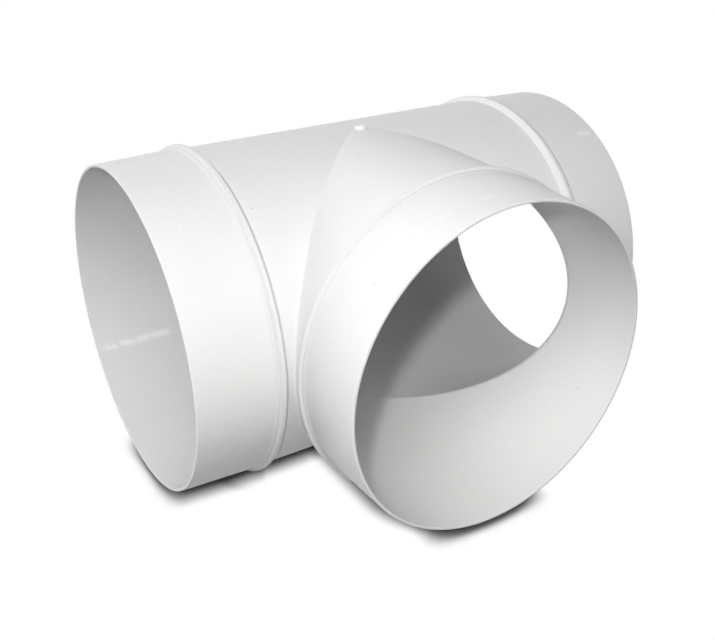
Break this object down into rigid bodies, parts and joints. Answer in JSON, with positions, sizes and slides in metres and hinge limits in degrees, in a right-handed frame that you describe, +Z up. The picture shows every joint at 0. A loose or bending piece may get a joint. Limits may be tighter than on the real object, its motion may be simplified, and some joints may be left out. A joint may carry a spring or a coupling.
{
  "type": "round duct tee",
  "caption": "Equal round duct tee, moulded in one thin-walled piece, with a tapered spigot and a raised stop ring on each leg and a mitred, rounded crease where the branch leaves the run.",
  "frame": {"origin": "the point where the axis of the run and the axis of the branch cross", "axes": "+X along the run, -Y out of the branch's mouth, +Z up with the tee lying flat on its stop rings"},
  "size_m": [0.1578, 0.1303, 0.1028],
  "materials": {
    "white_plastic": "smooth, softly glossy injection-moulded white"
  },
  "bodies": {
    "root": {"duct_tee": "white_plastic"}
  },
  "joints": []
}
